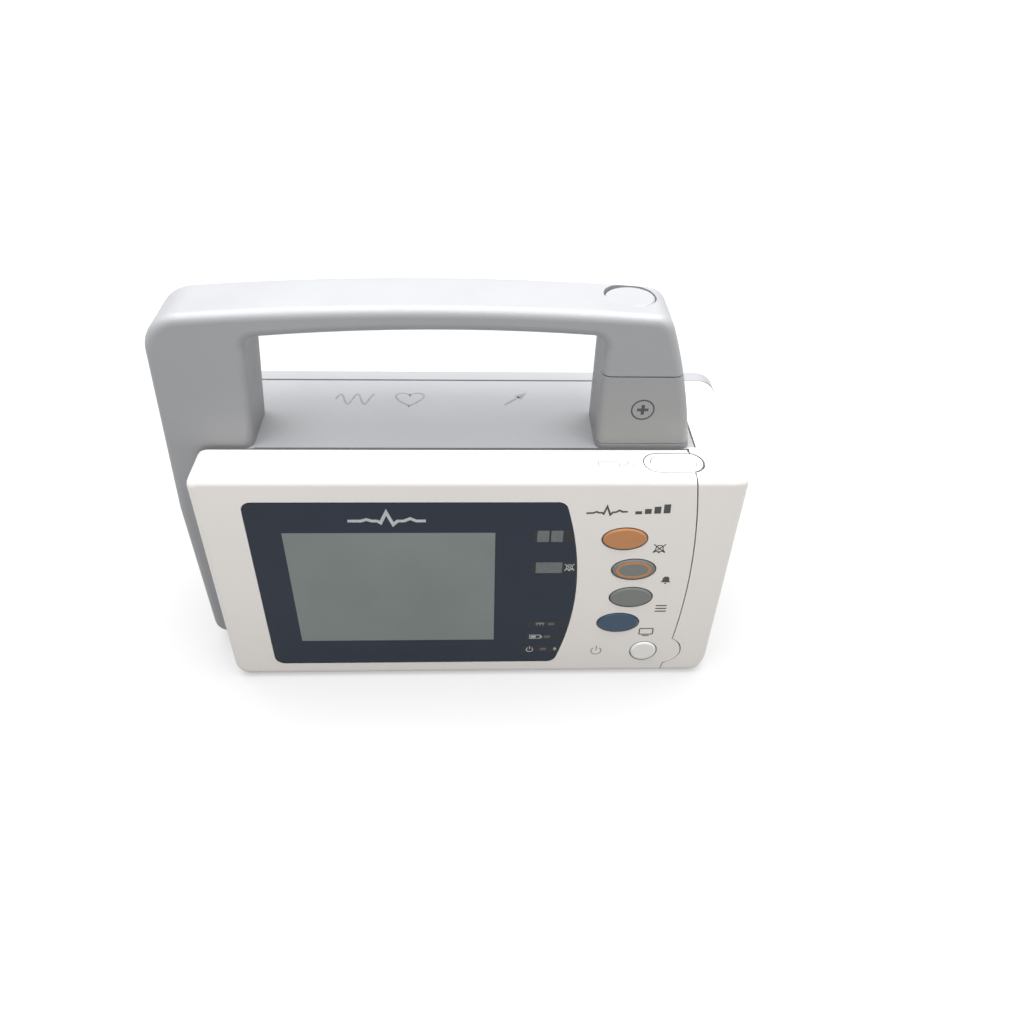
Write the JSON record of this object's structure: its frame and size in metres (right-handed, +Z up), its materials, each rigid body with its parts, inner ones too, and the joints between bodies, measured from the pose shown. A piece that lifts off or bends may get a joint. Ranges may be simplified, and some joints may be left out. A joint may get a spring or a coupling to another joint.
{
  "type": "patient monitor",
  "caption": "Compact transport patient monitor with a carrying handle, sprung keys, a slide-out battery end, side sockets and a rear docking block.",
  "frame": {"origin": "under the middle of the whole object, on the plane of its feet", "axes": "+X to the user's right along the longest side, +Y towards the back, +Z up; the display faces -Y"},
  "size_m": [0.1986, 0.0864, 0.1501],
  "materials": {
    "white_casing": "satin moulded, fine texture",
    "grey_casing": "satin moulded, fine texture",
    "panel_grey": "satin moulded",
    "window_dark": "gloss hard coat over print",
    "lcd": "anti-glare",
    "steel_tray": "stamped",
    "gasket": "foam",
    "lens": "diffuse lens",
    "key_orange": "silicone, matt",
    "key_grey": "silicone, matt",
    "key_blue": "silicone, matt",
    "key_white": "satin moulded",
    "silicone_mat": "silicone",
    "board": "solder mask",
    "spring_steel": "bright wire",
    "dark_plastic": "moulded",
    "gold": "gold flash",
    "cell_wrap": "shrink sleeve",
    "battery_black": "moulded",
    "rubber_foot": "matt",
    "red_ring": "moulded",
    "brown_ring": "moulded",
    "blue_ring": "moulded",
    "green_ring": "moulded",
    "white_port": "moulded",
    "motor_metal": "drawn can",
    "tube_clear": "silicone tube",
    "screw_steel": "zinc plated"
  },
  "bodies": {
    "housing": {"front_bezel": "white_casing", "handle_frame": "grey_casing", "rear_cover": "grey_casing", "dock_block": "grey_casing", "pillar_panel": "panel_grey", "connector_plate": "panel_grey", "display_window": "window_dark", "lcd_panel": "lcd", "lcd_tray": "steel_tray", "display_gasket": "gasket", "body_gasket": "gasket", "alarm_lamp_lenses": "lens", "status_led_lenses": "lens", "board_leds": "lens", "keypad_mat": "silicone_mat", "keypad_board": "board", "main_board": "board", "measurement_board": "board", "board_standoffs": "gold", "board_shield": "steel_tray", "chassis_plate": "steel_tray", "battery_guide": "dark_plastic", "battery_socket": "dark_plastic", "battery_latch": "spring_steel", "eject_spring": "spring_steel", "release_spring": "spring_steel", "rail_strips": "steel_tray", "dock_connector": "dark_plastic", "dock_contacts": "gold", "socket_pins": "gold", "pressure_socket": "red_ring", "temp_socket": "brown_ring", "cuff_port": "white_port", "spo2_socket": "blue_ring", "ecg_socket": "green_ring", "sync_jack": "dark_plastic", "cuff_pump": "motor_metal", "pump_head": "dark_plastic", "valve_block": "dark_plastic", "bleed_valves": "motor_metal", "air_tubes": "tube_clear", "speaker": "dark_plastic", "case_screws": "screw_steel", "feet": "rubber_foot"},
    "key_silence": {"key_silence": "key_orange"},
    "key_alarms": {"key_alarms": "key_grey", "alarms_key_ring": "key_orange"},
    "key_smart": {"key_smart": "key_grey"},
    "key_main": {"key_main": "key_blue"},
    "key_power": {"key_power": "key_white"},
    "battery": {"battery_cap": "white_casing", "battery_case": "battery_black", "battery_cells": "cell_wrap", "battery_contacts": "gold"},
    "eject": {"eject_button": "white_casing"},
    "release": {"release_button": "grey_casing", "release_link": "steel_tray", "dock_pawl": "steel_tray"}
  },
  "joints": [
    {"name": "silence_press", "type": "slide", "parent": "housing", "child": "key_silence", "axis": [0, 1, 0], "range_m": [0, 0.0008], "stiffness_N_per_m": 400, "springref_m": -0.0003, "deforming": ["keypad_mat"]},
    {"name": "alarms_press", "type": "slide", "parent": "housing", "child": "key_alarms", "axis": [0, 1, 0], "range_m": [0, 0.0008], "stiffness_N_per_m": 400, "springref_m": -0.0003, "deforming": ["keypad_mat"]},
    {"name": "smart_press", "type": "slide", "parent": "housing", "child": "key_smart", "axis": [0, 1, 0], "range_m": [0, 0.0008], "stiffness_N_per_m": 400, "springref_m": -0.0003, "deforming": ["keypad_mat"]},
    {"name": "main_press", "type": "slide", "parent": "housing", "child": "key_main", "axis": [0, 1, 0], "range_m": [0, 0.0008], "stiffness_N_per_m": 400, "springref_m": -0.0003, "deforming": ["keypad_mat"]},
    {"name": "power_press", "type": "slide", "parent": "housing", "child": "key_power", "axis": [0, 1, 0], "range_m": [0, 0.0008], "stiffness_N_per_m": 400, "springref_m": -0.0003, "deforming": ["keypad_mat"]},
    {"name": "eject_press", "type": "slide", "parent": "housing", "child": "eject", "axis": [0, 0, -1], "range_m": [0, 0.0022], "stiffness_N_per_m": 800, "springref_m": -0.0008, "deforming": ["eject_spring", "battery_latch"]},
    {"name": "release_press", "type": "slide", "parent": "housing", "child": "release", "axis": [0, 0, -1], "range_m": [0, 0.0035], "stiffness_N_per_m": 1200, "springref_m": -0.002, "deforming": ["release_spring"]},
    {"name": "battery_slide", "type": "slide", "parent": "housing", "child": "battery", "axis": [1, 0, 0], "range_m": [0, 0.06], "deforming": ["battery_latch"]}
  ]
}
